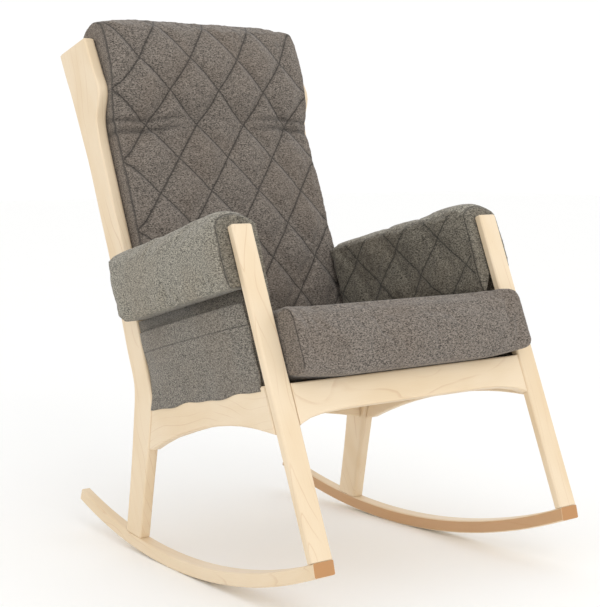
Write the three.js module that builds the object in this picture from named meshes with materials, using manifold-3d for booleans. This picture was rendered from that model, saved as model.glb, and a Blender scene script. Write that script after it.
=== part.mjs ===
// Rocking chair: maple side frames on curved runners, a quilted back cushion hooked
// over the top rail, a box seat cushion on a slatted deck, padded arms and a fabric
// side panel with a storage pocket under each arm.
// Millimetres, +Z up, the sitter faces -Y. Side outlines are (y, z) points with Y = 0
// where the runners meet the floor. Pairs are built at +X and mirrored.

import * as THREE from 'three';
import { mergeVertices } from 'three/addons/utils/BufferGeometryUtils.js';
import Module from 'manifold-3d';

const wasm = await Module();
wasm.setup();

// Colours
const MAPLE = 0xe6cfa4;
const MAPLE_INNER = 0xdcc298;
const CLOTH_FRONT = 0x6f6963;
const CLOTH_SIDE = 0x85827a;
const STEEL = 0x6b6a68;

// Clearances
const gap = 0.3;
const overrun = 5;

// Overall widths and slopes
const frontHalfWidth = 320;
const rearHalfWidth = 287;
const lean = THREE.MathUtils.degToRad(22.25);
const seatTilt = THREE.MathUtils.degToRad(13);
const armTilt = THREE.MathUtils.degToRad(13.8);

// Wood edges
const woodEdge = 2.5;
const chamfer = { radius: woodEdge, steps: 1 };

// Runners
const runnerRadius = 1197;
const runnerThick = 25;
const runnerNose = 6;
const runnerRear = 363;
const runnerSteps = 26;

// Front legs
const legTop = 662;
const legTopReach = 240;
const legWidth = 43.5;
const legThick = 17;

// Rear posts, with their side outline in shares of the post's height
const postHeight = 1012;
const postThick = 26;
const postSteps = 40;
const postCrown = 3;
const postDraw = 19;
const postSet = 24;
const postLeanTop = 610;
const postInnerRound = { radius: 9, steps: 3 };
const postFrontShares = [
  [0.117, 0.032], [0.096, 0.15], [0.0755, 0.26], [0.073, 0.308], [0.085, 0.348], [0.11, 0.413],
  [0.175, 0.583], [0.239, 0.74], [0.2645, 0.806], [0.2705, 0.846], [0.2605, 0.895],
  [0.2825, 0.937], [0.315, 1],
];
const postRearShares = [
  [0.169, 0.038], [0.151, 0.15], [0.138, 0.26], [0.134, 0.312], [0.14, 0.344], [0.168, 0.41],
  [0.236, 0.583], [0.3, 0.739], [0.332, 0.806], [0.35, 0.843], [0.3725, 0.888],
  [0.394, 0.926], [0.416, 0.969],
];

// Rails and aprons, with the rise of each arched lower edge
const railThick = 20;
const railInset = 0.6;
const archSteps = 14;
const frontRailTop = 397.5;
const frontRailDepth = 69;
const frontRailArch = 18;
const frontArchPower = 8;
const rearRailTop = 292;
const rearRailDepth = 80;
const rearRailArch = 30;
const rearRailFront = 97;
const sideArchPower = 2.2;
const apronThick = 20;
const apronDepth = 78;
const apronRearDepth = 88;
const apronArch = 25;

// Arm rails, hidden in the arm pads
const armRailThick = 24;
const armRailDepth = 62;
const armRailLift = 30;
const armRailInset = 10;

// Back frame
const backRailThick = 20;
const backRailDepth = 55;
const backRailSetback = 28;
const backRailSpace = 0.6;
const backLowerRailSpace = 53;
const backLowerRailHeight = rearRailTop + backLowerRailSpace;
const backTopRailHeight = 948;
const backSlatCount = 5;
const backSlatWidth = 46;
const backSlatThick = 9;
const backSlatSpacing = 98;
const backSlatBow = 7;
const bowSteps = 8;
const settleSteps = 12;

// Seat deck
const cleatSize = 18;
const slatCount = 5;
const slatWidth = 58;
const slatThick = 10;
const slatBow = 6;
const slatFrontSpace = 26;
const slatRearSpace = 4;
const blockLeg = 46;
const blockBlunt = 9;
const blockDepth = 36;
const boltRadius = 3.5;
const boltHeadRadius = 7;
const boltHeadDepth = 3.5;
const boltBite = 9;
const boltOffset = 12;
const boltSink = 4;
const boltSides = 12;

// Seat cushion
const seatLegSpace = 3.5;
const seatPostSpace = 5;
const seatHalfWidth = frontHalfWidth - legWidth - seatLegSpace;
const seatRearHalfWidth = rearHalfWidth - postThick - seatPostSpace;
const seatThick = 120;
const seatReach = 40;
const seatCrown = 9;
const seatCrownFall = 0.9;
const seatRound = 15;
const seatBulge = 5;
const seatTopSteps = 7;
const seatEdgeSteps = 3;
const seatColumnShares = [0, 0.35, 0.65, 0.86];
const seatBackSpace = 3;

// Back cushion, with its seam line in shares of the post's height
const backPostSpace = 2;
const backEdgeWidth = 2.5;
const backHalfWidth = rearHalfWidth - postThick - postDraw - backPostSpace;
const backSeam = backHalfWidth - backEdgeWidth;
const backCrown = 17;
const backTopRise = 44;
const backTopReach = 45;
const backTopLift = 9;
const backEdgeDraw = 18;
const backFlapThick = 22;
const backFlapLength = 45;
const backFlapRise = 20;
const backCrownFade = 90;
const backEdgeShare = 0.6;
const backTopSteps = 3;
const backSeamShares = [
  [0.0667, 0.2964], [0.1026, 0.3953], [0.1385, 0.4941], [0.1816, 0.6126], [0.2385, 0.7411],
  [0.2731, 0.83], [0.2765, 0.8893], [0.2883, 0.9486], [0.3229, 1.0227],
];
const backQuiltDrop = 126;
const backQuiltRows = 26;

// Quilting: a diamond lattice, with the mesh cut on its lines
const quiltAcross = 4;
const quiltWidth = 2 * backSeam / quiltAcross;
const quiltHeight = 143;
const quiltSteps = 6;
const quiltPuff = 7;

// Arm pads
const padFrontBottom = 554;
const padRearHeight = 516;
const padRearSpace = 35;
const padInset = 12;
const padWidth = 97;
const padHeight = 136;
const padSwell = 8;
const padFrontDrop = 18;
const padFrontRun = 70;
const padCrown = 12;
const padRound = 10;
const padBulge = 3;
const padPuff = 5;
const padQuiltDrop = 30;
const padQuiltRows = 4;
const padTopSteps = 4;
const padOuterPoints = 4;

// Side panels and pockets
const panelThick = 4;
const panelInset = 8;
const panelFrontSpace = 13;
const panelFrontFlare = 12;
const pocketThick = 3;
const pocketBulge = 15;
const pocketHem = 24;
const pocketColumns = 12;
const pocketRows = 7;
const pocketSweep = 0.75 * Math.PI;

const { lerp, smoothstep } = THREE.MathUtils;
const chair = new THREE.Group();

function material(color, roughness, metalness = 0) {
  return new THREE.MeshStandardMaterial({ color, roughness, metalness });
}

const maple = () => material(MAPLE, 0.42);
const mapleInner = () => material(MAPLE_INNER, 0.5);
const clothFront = () => material(CLOTH_FRONT, 0.95);
const clothSide = () => material(CLOTH_SIDE, 0.95);
const steel = () => material(STEEL, 0.4, 0.9);

function add(name, geometry, makeMaterial) {
  const mesh = new THREE.Mesh(geometry, makeMaterial());
  mesh.name = name;
  chair.add(mesh);
}

function addPair(name, geometry, makeMaterial) {
  add(`${name}_r`, geometry, makeMaterial);
  add(`${name}_l`, mirrored(geometry), makeMaterial);
}

// Twice the area of a closed outline, positive when it runs anticlockwise
function outlineArea(points) {
  return points.reduce((sum, point, i) => {
    const next = points[(i + 1) % points.length];
    return sum + point.x * next.y - next.x * point.y;
  }, 0);
}

// Six times the volume inside an indexed mesh, positive when its faces look out
function meshVolume(geometry) {
  const position = geometry.getAttribute('position');
  const corner = i => new THREE.Vector3().fromBufferAttribute(position, geometry.index.getX(i));
  let volume = 0;
  for (let i = 0; i < geometry.index.count; i += 3) {
    volume += corner(i).dot(corner(i + 1).cross(corner(i + 2)));
  }
  return volume;
}

function facingOut(geometry) {
  if (meshVolume(geometry) < 0) {
    geometry.setIndex(Array.from(geometry.index.array).reverse());
  }
  geometry.computeVertexNormals();
  return geometry;
}

function meshOf(positions, index) {
  const geometry = new THREE.BufferGeometry();
  geometry.setAttribute('position', new THREE.Float32BufferAttribute(positions, 3));
  geometry.setIndex(index);
  return facingOut(geometry);
}

function mirrored(geometry) {
  return facingOut(geometry.clone().scale(-1, 1, 1));
}

// The same surface with positions only, its shared corners merged
function welded(geometry) {
  const bare = geometry.clone();
  bare.deleteAttribute('normal');
  bare.deleteAttribute('uv');
  return mergeVertices(bare);
}

// Triangles over a flat closed ring, turned the same way as the ring
function capFaces(ring) {
  const normal = new THREE.Vector3();
  ring.forEach((point, i) => normal.add(point.clone().cross(ring[(i + 1) % ring.length])));
  const size = normal.toArray().map(Math.abs);
  const dropped = size.indexOf(Math.max(...size));
  const flat = ring.map(point => {
    const kept = point.toArray().filter((_, axis) => axis !== dropped);
    return new THREE.Vector2(...kept);
  });
  const turn = Math.sign(outlineArea(flat));
  return THREE.ShapeUtils.triangulateShape(flat, []).map(face => {
    const same = Math.sign(outlineArea(face.map(i => flat[i]))) === turn;
    return same ? face : [...face].reverse();
  });
}

// The same over the ring of a sheet, which goes along one side and back on the other
function stripFaces(ring) {
  const last = ring.length - 1;
  return Array.from({ length: ring.length / 2 - 1 }, (_, k) => k).flatMap(k => (
    [[k, k + 1, last - 1 - k], [k, last - 1 - k, last - k]]
  ));
}

// A closed solid through rings of equally many points. crossed(i, j) says which way
// the quad between rings i and i + 1 at point j is halved.
function loft(rings, crossed = () => false, endFaces = capFaces) {
  const count = rings[0].length;
  const index = [];
  for (let i = 0; i + 1 < rings.length; i += 1) {
    for (let j = 0; j < count; j += 1) {
      const a = i * count + j;
      const b = i * count + (j + 1) % count;
      const c = a + count;
      const d = b + count;
      index.push(...(crossed(i, j) ? [a, b, c, b, d, c] : [a, b, d, a, d, c]));
    }
  }
  const last = count * (rings.length - 1);
  endFaces(rings[0]).forEach(([a, b, c]) => index.push(a, c, b));
  endFaces(rings[rings.length - 1]).forEach(face => index.push(...face.map(i => i + last)));
  return meshOf(rings.flat().flatMap(point => point.toArray()), index);
}

// A ring round a bar: from p to q in the side view, from outer to inner across, with
// the corners at (p, outer), (q, outer), (q, inner) and (p, inner) in that order
function barRing(p, q, outer, inner, corners) {
  const along = q.clone().sub(p).normalize();
  const sides = [[0, 0], [1, 0], [1, 1], [0, 1]];
  return corners.flatMap(({ radius, steps }, k) => {
    const [farAlong, farAcross] = sides[k];
    return Array.from({ length: steps + 1 }, (_, i) => {
      const angle = Math.PI * (1 + (k + i / steps) / 2);
      const u = lerp(radius, p.distanceTo(q) - radius, farAlong) + radius * Math.cos(angle);
      const v = lerp(radius, outer - inner - radius, farAcross) + radius * Math.sin(angle);
      return new THREE.Vector3(outer - v, p.x + along.x * u, p.y + along.y * u);
    });
  });
}

const softCorners = [chamfer, chamfer, chamfer, chamfer];

// A board from its flat outline, with chamfered edges where edge is not zero. place
// puts the outline's u and v and the depth w through the thickness into the chair.
function board(outline, thick, edge, place) {
  const raw = new THREE.ExtrudeGeometry(new THREE.Shape(outline), {
    depth: thick - 2 * edge,
    bevelEnabled: edge > 0,
    bevelThickness: edge,
    bevelSize: edge,
    bevelOffset: -edge,
    bevelSegments: 1,
  });
  const geometry = welded(raw);
  const position = geometry.getAttribute('position');
  for (let i = 0; i < position.count; i += 1) {
    const w = position.getZ(i) + edge;
    position.setXYZ(i, ...place(position.getX(i), position.getY(i), w).toArray());
  }
  return facingOut(geometry);
}

function manifoldOf(geometry) {
  const shared = welded(geometry);
  return new wasm.Manifold(new wasm.Mesh({
    numProp: 3,
    vertProperties: new Float32Array(shared.getAttribute('position').array),
    triVerts: new Uint32Array(shared.index.array),
  }));
}

function cut(geometry, ...tools) {
  const solid = tools.reduce((left, tool) => left.subtract(manifoldOf(tool)), manifoldOf(geometry));
  const mesh = solid.getMesh();
  return meshOf(Array.from(mesh.vertProperties), Array.from(mesh.triVerts));
}

// Side view: the runner's arc, the leg's faces and the post's edges

const runnerTopRadius = runnerRadius - runnerThick;

function onArc(radius, angle) {
  return new THREE.Vector2(radius * Math.sin(angle), runnerRadius - radius * Math.cos(angle));
}

// Where the line down the leg's slope from a point meets an arc about the runner's centre
function footOnArc(from, radius) {
  const down = new THREE.Vector2(-Math.sin(lean), -Math.cos(lean));
  const offset = new THREE.Vector2(from.x, from.y - runnerRadius);
  const b = offset.dot(down);
  const distance = -b + Math.sqrt(b * b - offset.lengthSq() + radius * radius);
  return from.clone().addScaledVector(down, distance);
}

const legFrontY = z => -legTopReach - (legTop - z) * Math.tan(lean);
const legRearY = z => legFrontY(z) + legThick / Math.cos(lean);
const legFrontTop = new THREE.Vector2(-legTopReach, legTop);
const legBack = new THREE.Vector2(Math.cos(lean), -Math.sin(lean));
const legRearTop = legFrontTop.clone().addScaledVector(legBack, legThick);
const runnerToe = footOnArc(legFrontTop, runnerTopRadius);

// Above the rear rail the posts draw inward and are set back, in full from above the arms on
const postLean = z => smoothstep(z, rearRailTop, postLeanTop);
const postOuter = z => rearHalfWidth - postDraw * postLean(z);
const postInner = z => postOuter(z) - postThick;

// The post's edge: a smooth curve whose foot rests on the runner
function postEdge(shares) {
  const points = shares.map(([y, z]) => {
    const height = z * postHeight;
    return new THREE.Vector2(y * postHeight + postSet * postLean(height), height);
  });
  const foot = points[0];
  foot.y = onArc(runnerTopRadius, Math.asin(foot.x / runnerTopRadius)).y + gap;
  return new THREE.SplineCurve(points).getPoints(postSteps);
}

const postFront = postEdge(postFrontShares);
const postRear = postEdge(postRearShares);

// Y of a rising polyline at height z
function edgeY(edge, z) {
  const found = edge.findIndex(point => point.y >= z);
  const i = Math.max(found < 0 ? edge.length - 1 : found, 1);
  const [low, high] = [edge[i - 1], edge[i]];
  return lerp(low.x, high.x, (z - low.y) / (high.y - low.y));
}

const postFrontY = z => edgeY(postFront, z);

// The post's front edge between two heights, rising, set forward by the clearance
function besidePost(low, high) {
  const between = postFront.map(point => point.y).filter(z => z > low && z < high);
  return [low, ...between, high].map(z => new THREE.Vector2(postFrontY(z) - gap, z));
}

// The seat line: the top of the front rail and aprons, and the cushion's underside
const railCorner = new THREE.Vector2(legFrontY(frontRailTop), frontRailTop);
const seatLineZ = y => railCorner.y - (y - railCorner.x) * Math.tan(seatTilt);

// A point in the seat's own frame: s back along the seat line, n up from it
function onSeat(x, s, n) {
  const y = railCorner.x + s * Math.cos(seatTilt) + n * Math.sin(seatTilt);
  const z = railCorner.y - s * Math.sin(seatTilt) + n * Math.cos(seatTilt);
  return new THREE.Vector3(x, y, z);
}

// Where a plane parallel to the legs, through (y, z), crosses the seat line
function seatCrossing(y, z) {
  const ahead = (y - railCorner.x) * Math.cos(lean) + (railCorner.y - z) * Math.sin(lean);
  return ahead / Math.cos(lean - seatTilt);
}

// Plan view: the outer face of the aprons, which the arms and panels follow. It is level
// with the leg's outer face halfway down the apron's front end.
const apronFrontY = legRearY(frontRailTop);
const taperFrontY = legRearY(frontRailTop - apronDepth / 2);
const apronRearY = postFrontY(rearRailTop);

function sideOuter(y) {
  const share = (y - taperFrontY) / (apronRearY - taperFrontY);
  return lerp(frontHalfWidth, rearHalfWidth, share);
}

// The runner's taper, from the leg's width at the toe to the post's at its foot
function runnerShare(y) {
  return (y - runnerToe.x) / (postRear[0].x - runnerToe.x);
}

// Runners
function fan(from, to, steps) {
  return Array.from({ length: steps + 1 }, (_, i) => lerp(from, to, i / steps));
}

// Angles of the runner's rings, with one step lying level where it meets the floor
function runnerAngles(front, rear) {
  const step = (front + rear) / runnerSteps;
  const frontSteps = Math.round(front / step);
  const rearSteps = runnerSteps - frontSteps;
  return [...fan(-front, -step / 2, frontSteps), ...fan(step / 2, rear, rearSteps)];
}

function runner() {
  const rear = Math.asin(runnerRear / runnerTopRadius);
  const top = runnerAngles(Math.asin(-runnerToe.x / runnerTopRadius), rear);
  const bottom = runnerAngles(Math.asin((runnerNose - runnerToe.x) / runnerRadius), rear);
  return loft(top.map((angle, i) => {
    const q = onArc(runnerTopRadius, angle);
    const p = onArc(runnerRadius, bottom[i]);
    const share = runnerShare(q.x);
    const outer = lerp(frontHalfWidth, rearHalfWidth, share);
    return barRing(p, q, outer, outer - lerp(legWidth, postThick, share), softCorners);
  }));
}

// Front legs
function frontLeg() {
  const inner = frontHalfWidth - legWidth;
  const footRadius = runnerTopRadius - gap;
  const front = footOnArc(legFrontTop, footRadius);
  const rear = footOnArc(legRearTop, footRadius);
  const down = new THREE.Vector2(-Math.sin(lean), -Math.cos(lean)).multiplyScalar(woodEdge);
  const topFront = legFrontTop.clone().addScaledVector(legBack, woodEdge);
  const topRear = legRearTop.clone().addScaledVector(legBack, -woodEdge);
  return loft([
    barRing(front, rear, frontHalfWidth, inner, softCorners),
    barRing(legFrontTop.clone().add(down), legRearTop.clone().add(down), frontHalfWidth, inner,
      softCorners),
    barRing(topFront, topRear, frontHalfWidth - woodEdge, inner + woodEdge, softCorners),
  ]);
}

// Rear posts, with a broad round on the front inner edge and a softened top
function rearPost() {
  const corners = [chamfer, chamfer, chamfer, postInnerRound];
  const rings = postFront.map((front, i) => {
    const height = (front.y + postRear[i].y) / 2;
    return barRing(front, postRear[i], postOuter(height), postInner(height), corners);
  });
  const top = rings[rings.length - 1];
  const centre = top.reduce((sum, point) => sum.add(point), new THREE.Vector3());
  centre.divideScalar(top.length);
  const inset = 1 - woodEdge / postThick;
  rings.push(top.map(point => {
    const drawn = point.clone().sub(centre).multiplyScalar(inset).add(centre);
    drawn.z += postCrown;
    return drawn;
  }));
  return loft(rings);
}

// Shares of an arched lower edge, close together at its ends, from -1 to 1
function archShares() {
  return fan(-1, 1, archSteps).map(step => Math.sin(step * Math.PI / 2));
}

const archRise = (share, power) => 1 - Math.abs(share) ** power;

function frontRail() {
  const half = frontHalfWidth - legWidth - gap;
  const slope = 1 / Math.cos(lean);
  const top = frontRailTop * slope;
  const lower = archShares().map(share => {
    const depth = frontRailDepth - frontRailArch * archRise(share, frontArchPower);
    return new THREE.Vector2(share * half, top - depth * slope);
  });
  const outline = [...lower, new THREE.Vector2(half, top), new THREE.Vector2(-half, top)];
  return board(outline, railThick, woodEdge, (u, v, w) => {
    const n = w + railInset;
    const y = legFrontY(0) + v * Math.sin(lean) + n * Math.cos(lean);
    return new THREE.Vector3(u, y, v * Math.cos(lean) - n * Math.sin(lean));
  });
}

function rearRail() {
  const half = rearHalfWidth - postThick - gap;
  const lower = archShares().map(share => {
    const depth = rearRailDepth - rearRailArch * archRise(share, sideArchPower);
    return new THREE.Vector2(share * half, rearRailTop - depth);
  });
  const outline = [
    ...lower,
    new THREE.Vector2(half, rearRailTop),
    new THREE.Vector2(-half, rearRailTop),
  ];
  return board(outline, railThick, woodEdge, (u, v, w) => (
    new THREE.Vector3(u, rearRailFront + w, v)
  ));
}

// Side apron: from the leg to the post under the seat line, arched below
function apron() {
  const lower = archShares().map(share => {
    const s = (share + 1) / 2;
    const y = lerp(apronFrontY, apronRearY, s);
    const arch = apronArch * archRise(share, sideArchPower);
    return new THREE.Vector2(y, seatLineZ(y) - lerp(apronDepth, apronRearDepth, s) + arch);
  });
  const front = lower[0];
  const rear = lower[lower.length - 1];
  front.x = legRearY(front.y) + gap;
  rear.x = postFrontY(rear.y) - gap;
  const rise = besidePost(rear.y, seatLineZ(apronRearY)).slice(1);
  const outline = [...lower, ...rise, new THREE.Vector2(apronFrontY + gap, seatLineZ(apronFrontY))];
  return board(outline, apronThick, woodEdge, (u, v, w) => (
    new THREE.Vector3(sideOuter(u) - w, u, v)
  ));
}

// Arm frame: a back along the pad's underside from its front, b up from it
const padOrigin = new THREE.Vector2(legRearY(padFrontBottom) + gap, padFrontBottom);

function onArm(a, b) {
  const y = padOrigin.x + a * Math.cos(armTilt) + b * Math.sin(armTilt);
  return new THREE.Vector2(y, padOrigin.y - a * Math.sin(armTilt) + b * Math.cos(armTilt));
}

// The pad's length, between the leg's rear face and a parallel plane before the post
const padSlant = Math.tan(lean - armTilt);
const padLength = (() => {
  const back = (postFrontY(padRearHeight) - padRearSpace - padOrigin.x) * Math.cos(lean);
  return (back + (padOrigin.y - padRearHeight) * Math.sin(lean)) / Math.cos(lean - armTilt);
})();

// How far back along the arm, at height b, the post's front edge lies
function armEnd(b) {
  let a = padLength;
  for (let i = 0; i < settleSteps; i += 1) {
    const point = onArm(a, b);
    a += (postFrontY(point.y) - point.x) / Math.cos(armTilt);
  }
  return a;
}

// The arm rail, or, grown and made longer, its channel through the pad
function armRail(grow, reach) {
  const levels = [armRailLift - grow, armRailLift + armRailDepth + grow];
  const half = armRailThick / 2 + grow;
  const ring = ([p, q]) => {
    const middle = sideOuter((p.x + q.x) / 2) - armRailInset;
    return barRing(p, q, middle + half, middle - half, softCorners);
  };
  return loft([
    ring(levels.map(b => onArm(b * padSlant - reach, b))),
    ring(levels.map(b => onArm(armEnd(b) - 2 * gap + reach, b))),
  ]);
}

// Back frame: t up the slope from the lower rail's middle, n back from the rails' front
const backBase = new THREE.Vector2(
  postFrontY(backLowerRailHeight) + backRailSetback,
  backLowerRailHeight,
);
const backTopT = (backTopRailHeight - backLowerRailHeight) / Math.cos(lean);
const backInnerHalf = rearHalfWidth - postThick - gap;

function onBack(t, n) {
  const y = backBase.x + t * Math.sin(lean) + n * Math.cos(lean);
  return new THREE.Vector2(y, backBase.y + t * Math.cos(lean) - n * Math.sin(lean));
}

function backRail(t) {
  const low = t - backRailDepth / 2;
  const high = t + backRailDepth / 2;
  const end = along => postInner(onBack(along, 0).y) - backRailSpace;
  const outline = [
    new THREE.Vector2(-end(low), low),
    new THREE.Vector2(end(low), low),
    new THREE.Vector2(end(high), high),
    new THREE.Vector2(-end(high), high),
  ];
  return board(outline, backRailThick, woodEdge, (u, v, w) => {
    const point = onBack(v, w);
    return new THREE.Vector3(u, point.x, point.y);
  });
}

// A back slat between the rails, bowed away from the sitter
function backSlat(x) {
  const low = backRailDepth / 2 + gap;
  const high = backTopT - low;
  const front = (backRailThick - backSlatThick) / 2;
  return loft(fan(0, 1, bowSteps).map(share => {
    const t = lerp(low, high, share);
    const n = front + backSlatBow * Math.sin(Math.PI * share);
    return barRing(onBack(t, n), onBack(t, n + backSlatThick), x + backSlatWidth / 2,
      x - backSlatWidth / 2, softCorners);
  }));
}

// Seat deck
const deckEndN = -slatBow - slatThick - gap;
const deckLength = seatCrossing(apronRearY, rearRailTop) - slatRearSpace;
const apronInner = y => sideOuter(y) - apronThick - gap;

// A seat slat bowed up, its crown under the cushion and its ends on the cleats
function seatSlat(s) {
  return loft(fan(-1, 1, bowSteps).map(share => {
    const top = -slatBow * share * share;
    const corners = [[s, top], [s + slatWidth, top], [s + slatWidth, top - slatThick],
      [s, top - slatThick]];
    return corners.map(([along, n]) => {
      const point = onSeat(0, along, n);
      point.x = share * apronInner(point.y);
      return point;
    });
  }));
}

// The front blocks stand against the front rail, the rear ones against the rear rail
const frontBlockS = n => seatCrossing(
  legFrontY(0) + (railInset + railThick + gap) / Math.cos(lean),
  0,
) + n * Math.tan(lean - seatTilt);
const rearBlockS = n => (
  (rearRailFront - gap - railCorner.x - n * Math.sin(seatTilt)) / Math.cos(seatTilt)
);

function cleat() {
  const ring = s => {
    const [low, high] = [deckEndN - cleatSize, deckEndN].map(n => onSeat(0, s, n));
    const outer = apronInner((low.y + high.y) / 2);
    return barRing(new THREE.Vector2(low.y, low.z), new THREE.Vector2(high.y, high.z), outer,
      outer - cleatSize, softCorners);
  };
  const front = frontBlockS(deckEndN) + blockLeg + gap;
  const rear = rearBlockS(deckEndN) - blockLeg - gap;
  return loft([ring(front), ring(rear)]);
}

// Corner blocks: a blunt triangle in plan, under the ends of the deck
const blockPlan = [[0, 0], [0, blockLeg], [blockBlunt, blockLeg], [blockLeg, blockBlunt],
  [blockLeg, 0]];
const blockLevels = [deckEndN - blockDepth, deckEndN];
const blockMiddle = deckEndN - blockDepth / 2;

function frontBlock() {
  return loft(blockLevels.map(n => blockPlan.map(([dx, ds]) => {
    const point = onSeat(0, frontBlockS(n) + ds, n);
    point.x = apronInner(point.y) - dx;
    return point;
  })));
}

function rearBlock() {
  return loft(blockLevels.map(n => blockPlan.map(([dx, ds]) => (
    onSeat(backInnerHalf - dx, rearBlockS(n) - ds, n)
  ))));
}

// Where a bolt's head sits, sunk in its block's sloped face, and the way its shank runs
function boltLine(face, ahead, bite) {
  const toward = ahead.sub(face).normalize();
  return { seat: face.clone().addScaledVector(toward, boltSink), toward, bite };
}

const boltRun = (blockLeg + blockBlunt - boltOffset) / 2;

function frontBoltLine() {
  const s = frontBlockS(blockMiddle) + boltRun;
  const face = onSeat(0, s, blockMiddle);
  face.x = apronInner(face.y) - boltOffset - boltRun;
  const ahead = onSeat(face.x + boltRun, s - boltRun, blockMiddle);
  return boltLine(face, ahead, boltBite + (railInset + railThick - legThick) / Math.SQRT1_2);
}

function rearBoltLine() {
  const s = rearBlockS(blockMiddle) - boltRun;
  const x = backInnerHalf - boltOffset - boltRun;
  const ahead = onSeat(x + boltRun, s + boltRun, blockMiddle);
  return boltLine(onSeat(x, s, blockMiddle), ahead, boltBite);
}

// A shape that rises along Y from its origin, turned to run from seat along toward
function turnedAlong(shape, { seat, toward }) {
  const up = new THREE.Vector3(0, 1, 0);
  const geometry = welded(shape);
  geometry.applyQuaternion(new THREE.Quaternion().setFromUnitVectors(up, toward));
  return geometry.translate(...seat.toArray());
}

const boltReach = boltRun / Math.SQRT1_2 - boltSink;

function bolt(line) {
  const tip = boltReach + line.bite;
  const profile = [[0, -boltHeadDepth], [boltHeadRadius, -boltHeadDepth], [boltHeadRadius, -gap],
    [boltRadius, -gap], [boltRadius, tip], [0, tip]];
  const points = profile.map(([radius, along]) => new THREE.Vector2(radius, along));
  return facingOut(turnedAlong(new THREE.LatheGeometry(points, boltSides), line));
}

// The hole for the shank and the recess for the head
function boltHoles(line) {
  const length = boltReach + line.bite + gap + overrun;
  const hole = new THREE.CylinderGeometry(boltRadius + gap, boltRadius + gap, length, boltSides);
  hole.translate(0, length / 2 - overrun, 0);
  const depth = boltSink + blockBlunt;
  const wide = boltHeadRadius + gap;
  const recess = new THREE.CylinderGeometry(wide, wide, depth, boltSides);
  recess.translate(0, -depth / 2, 0);
  return [turnedAlong(hole, line), turnedAlong(recess, line)];
}

// Quilting puff, from 0 on the stitched lines to 1 in a diamond's middle
function quilt(u, v) {
  const p = Math.sin(Math.PI * (u / quiltWidth + v / quiltHeight));
  const q = Math.sin(Math.PI * (u / quiltWidth - v / quiltHeight));
  return Math.sqrt(Math.abs(p * q));
}

const quiltColumn = quiltWidth / quiltSteps;
const quiltRow = quiltHeight / quiltSteps;

// Whether a quad, by its column and upper row on the lattice, is halved the rising way
function quiltRises(column, row) {
  return (column - row + 1) % quiltSteps === 0;
}

// Seat cushion: flat below, crowned on top, its front and rear parallel to the legs
const seatSlant = Math.tan(lean - seatTilt);
const seatFrontS = -seatReach / Math.cos(lean - seatTilt);
const [seatBackY, seatBackZ] = backSeamShares[1].map(share => share * postHeight);
const seatRearS = seatCrossing(seatBackY - seatBackSpace, seatBackZ);

// The cushion's side profile as (s, n) points, drawn in all round and crowned
function seatProfile(inset, crown) {
  const round = seatRound;
  const low = gap + inset;
  const high = seatThick - inset;
  const front = seatFrontS + inset;
  const rear = seatRearS - inset;
  const top = fan(0, 1, seatTopSteps).map(share => {
    const s = lerp(front + round, rear - round, share);
    return [s, high + seatCrown * crown * Math.sin(Math.PI * share)];
  });
  return [
    [front + round, low],
    [front + round / 3, low + round / 3],
    [front, low + round],
    [front - seatBulge * crown, (low + high) / 2],
    [front, high - round],
    [front + round / 3, high - round / 3],
    ...top,
    [rear - round / 3, high - round / 3],
    [rear, high - round],
    [rear, low + round],
    [rear - round, low],
  ].map(([s, n]) => [s + n * seatSlant, n]);
}

function seatCushion() {
  const edge = fan(0, 1, seatEdgeSteps).map(step => Math.sin(step * Math.PI / 2));
  const half = [
    ...seatColumnShares.map(share => ({ share, inset: 0 })),
    ...edge.map(step => ({
      share: 1 - seatRound * (1 - step) / seatHalfWidth,
      inset: seatRound * (1 - Math.sqrt(1 - step * step)) / 2,
    })),
  ];
  const columns = [
    ...half.slice(1).reverse().map(({ share, inset }) => ({ share: -share, inset })),
    ...half,
  ];
  return loft(columns.map(({ share, inset }) => {
    const crown = 1 - seatCrownFall * share ** 4;
    return seatProfile(inset, crown).map(([s, n]) => {
      const width = lerp(seatHalfWidth, seatRearHalfWidth, (s - seatFrontS) / (seatRearS - seatFrontS));
      return onSeat(share * width, s, n);
    });
  }));
}

// Back cushion
const backSeamPoints = backSeamShares.map(([y, z]) => (
  new THREE.Vector2(y * postHeight, z * postHeight)
));
backSeamPoints[0].y = seatLineZ(backSeamPoints[0].x) + gap;
const backSeamLine = new THREE.SplineCurve(backSeamPoints);
const backFrontLength = backSeamLine.getLength();

// The front at a distance down from the top seam, brought forward along its normal
function backFront(down, forward) {
  const share = 1 - down / backFrontLength;
  const point = backSeamLine.getPointAt(share);
  const along = backSeamLine.getTangentAt(share);
  return new THREE.Vector2(point.x - along.y * forward, point.y + along.x * forward);
}

// Front points from the top seam to the bottom, with the quilted rows between
function backFrontPoints(x, draw) {
  const first = backQuiltDrop % quiltRow;
  const rows = fan(first, first + backQuiltRows * quiltRow, backQuiltRows);
  const across = 1 - Math.min(1, (x / backSeam) ** 2);
  return [0, ...rows, backFrontLength - seatThick, backFrontLength].map((down, i) => {
    const above = backFrontLength - down - seatThick;
    const free = smoothstep(above, 0, backCrownFade);
    const stitched = i > 0 && i <= rows.length && across > 0;
    const puff = stitched ? quiltPuff * quilt(x, down - backQuiltDrop) : 0;
    return backFront(down, free * (backCrown * across + puff) - draw);
  });
}

// Over the top from the front seam to the flap behind the top rail
function backTopPoints(x, front, draw) {
  const across = 1 - (x / backHalfWidth) ** 4;
  const rise = backTopRise * across;
  const seamTop = backSeamPoints[backSeamPoints.length - 1];
  const over = new THREE.Vector2(seamTop.x + backTopReach, seamTop.y + backTopLift + rise - draw);
  const flapN = backRailThick + gap + backFlapThick;
  const rear = onBack(backTopT + backRailDepth / 2 + backFlapRise, flapN);
  rear.y += rise / 2;
  return new THREE.QuadraticBezierCurve(rear, over, front).getPoints(backTopSteps).slice(0, -1);
}

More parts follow.
